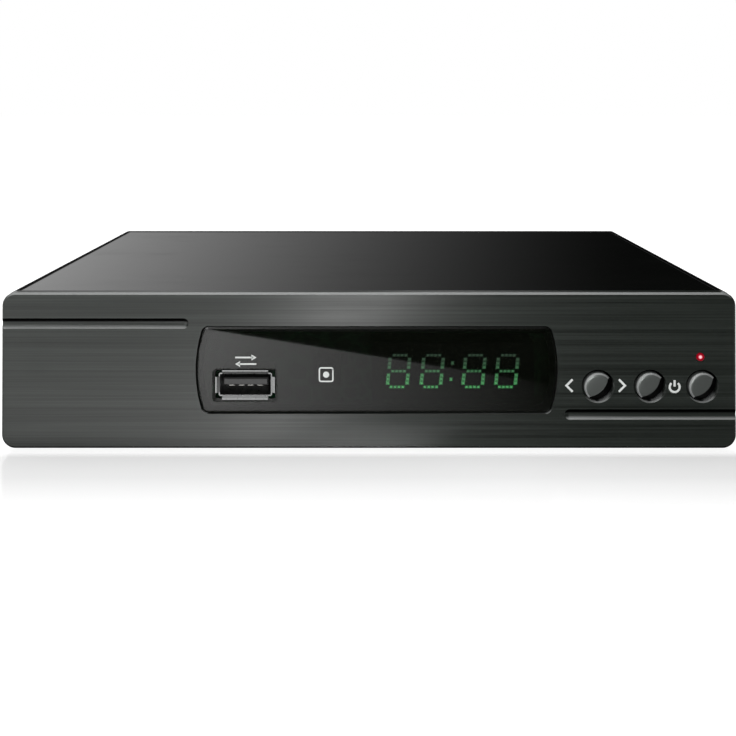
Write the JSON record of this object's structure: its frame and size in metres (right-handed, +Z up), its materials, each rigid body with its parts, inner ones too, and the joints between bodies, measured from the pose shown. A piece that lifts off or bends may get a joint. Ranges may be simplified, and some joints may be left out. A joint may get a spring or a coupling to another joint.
{
  "type": "satellite television receiver",
  "caption": "Compact set-top satellite receiver: brushed dark fascia with a bowed smoked display window, front serial port and round push keys, in a sheet-steel case with sockets on its back.",
  "frame": {"origin": "on the supporting surface, under the middle of the bounding box", "axes": "+X to the right as a viewer faces the fascia, +Y from the fascia to the back, +Z up"},
  "size_m": [0.1828, 0.1334, 0.0389],
  "materials": {
    "fascia_plastic": "dark grey moulded plastic with a fine horizontal brushed effect",
    "window_plastic": "smoked clear plastic, polished",
    "key_plastic": "dark grey satin plastic",
    "lamp_red": "clear red light-emitting diode, lit",
    "display_black": "matt black display face and potting",
    "display_light": "pale green light guides, lit",
    "cover_paint": "black satin paint on sheet steel",
    "chassis_steel": "bare zinc-coated sheet steel",
    "foot_rubber": "black rubber",
    "screw_steel": "black-passivated steel",
    "inner_screw_steel": "zinc-plated steel",
    "board_green": "green lacquered glass-fibre board",
    "part_black": "black moulding compound",
    "tin_plate": "bright tin plate",
    "nickel_plate": "bright nickel plate",
    "contact_gold": "gold-plated spring contacts",
    "port_plastic": "off-white moulded tongue",
    "white_insulator": "white dielectric",
    "orange_insert": "orange moulded insert of a digital-audio socket",
    "heatsink_aluminium": "extruded, clear-anodised",
    "can_aluminium": "sleeved aluminium cans",
    "pad_grey": "soft grey thermal pad",
    "ribbon_plastic": "pale grey flat cable"
  },
  "bodies": {
    "root": {"front_fascia": "fascia_plastic", "display_window": "window_plastic", "tact_switches": "part_black", "standby_led": "lamp_red", "front_board": "board_green", "display_segments": "display_light", "display_module": "display_black", "infrared_receiver": "display_black", "usb_shell": "nickel_plate", "usb_tongue": "part_black", "usb_contacts": "contact_gold", "top_cover": "cover_paint", "chassis_tray": "chassis_steel", "rubber_feet": "foot_rubber", "cover_screws": "screw_steel", "fascia_screws": "screw_steel", "front_board_screws": "inner_screw_steel", "main_board_screws": "inner_screw_steel", "main_board": "board_green", "main_processor": "part_black", "thermal_pad": "pad_grey", "heatsink": "heatsink_aluminium", "memory_chips": "part_black", "electrolytic_capacitors": "can_aluminium", "power_inductors": "part_black", "regulator_chips": "part_black", "crystal": "tin_plate", "board_header": "port_plastic", "front_header": "port_plastic", "ribbon_cable": "ribbon_plastic", "tuner_can": "tin_plate", "tuner_lid": "tin_plate", "lnb_in_socket": "nickel_plate", "lnb_out_socket": "nickel_plate", "lnb_insulators": "white_insulator", "lnb_contacts": "contact_gold", "hdmi_shell": "nickel_plate", "hdmi_tongue": "part_black", "hdmi_contacts": "contact_gold", "scart_housing": "part_black", "scart_contacts": "contact_gold", "coax_body": "part_black", "coax_ring": "nickel_plate", "coax_insert": "orange_insert", "coax_contact": "contact_gold", "power_jack": "part_black", "power_jack_pin": "nickel_plate"},
    "previous_key": {"previous_button": "key_plastic", "previous_plunger": "part_black"},
    "next_key": {"next_button": "key_plastic", "next_plunger": "part_black"},
    "power_key": {"power_button": "key_plastic", "power_plunger": "part_black"}
  },
  "joints": [
    {"name": "previous_press", "type": "slide", "parent": "root", "child": "previous_key", "axis": [0, 1, 0], "range_m": [0, 0.0005], "stiffness_N_per_m": 500},
    {"name": "next_press", "type": "slide", "parent": "root", "child": "next_key", "axis": [0, 1, 0], "range_m": [0, 0.0005], "stiffness_N_per_m": 500},
    {"name": "power_press", "type": "slide", "parent": "root", "child": "power_key", "axis": [0, 1, 0], "range_m": [0, 0.0005], "stiffness_N_per_m": 500}
  ]
}
